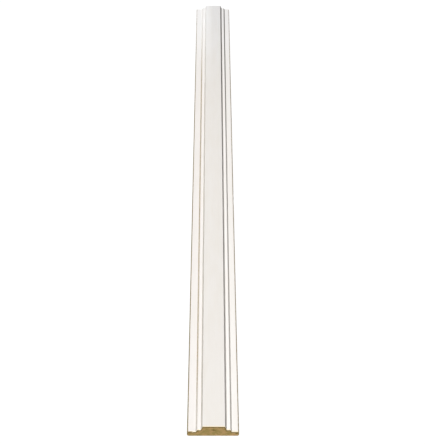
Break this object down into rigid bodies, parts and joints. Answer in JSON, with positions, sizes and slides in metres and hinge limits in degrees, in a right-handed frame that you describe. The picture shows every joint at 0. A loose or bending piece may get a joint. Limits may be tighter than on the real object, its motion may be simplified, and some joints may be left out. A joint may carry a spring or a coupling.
{
  "type": "wall moulding",
  "caption": "Straight length of stepped wall moulding with a raised flat band, a narrow ledge and a thin outer flat at each side, flat back and square-cut ends.",
  "frame": {"origin": "middle of the flat back", "axes": "+Y along the length, +X across the width, +Z out of the back, through the thickness, towards the face"},
  "size_m": [0.089, 2.31, 0.0175],
  "materials": {
    "primed_mdf": "matte white primer on the face and edges, bare golden-brown MDF on the cut ends and the back"
  },
  "bodies": {
    "root": {"moulding": "primed_mdf"}
  },
  "joints": []
}
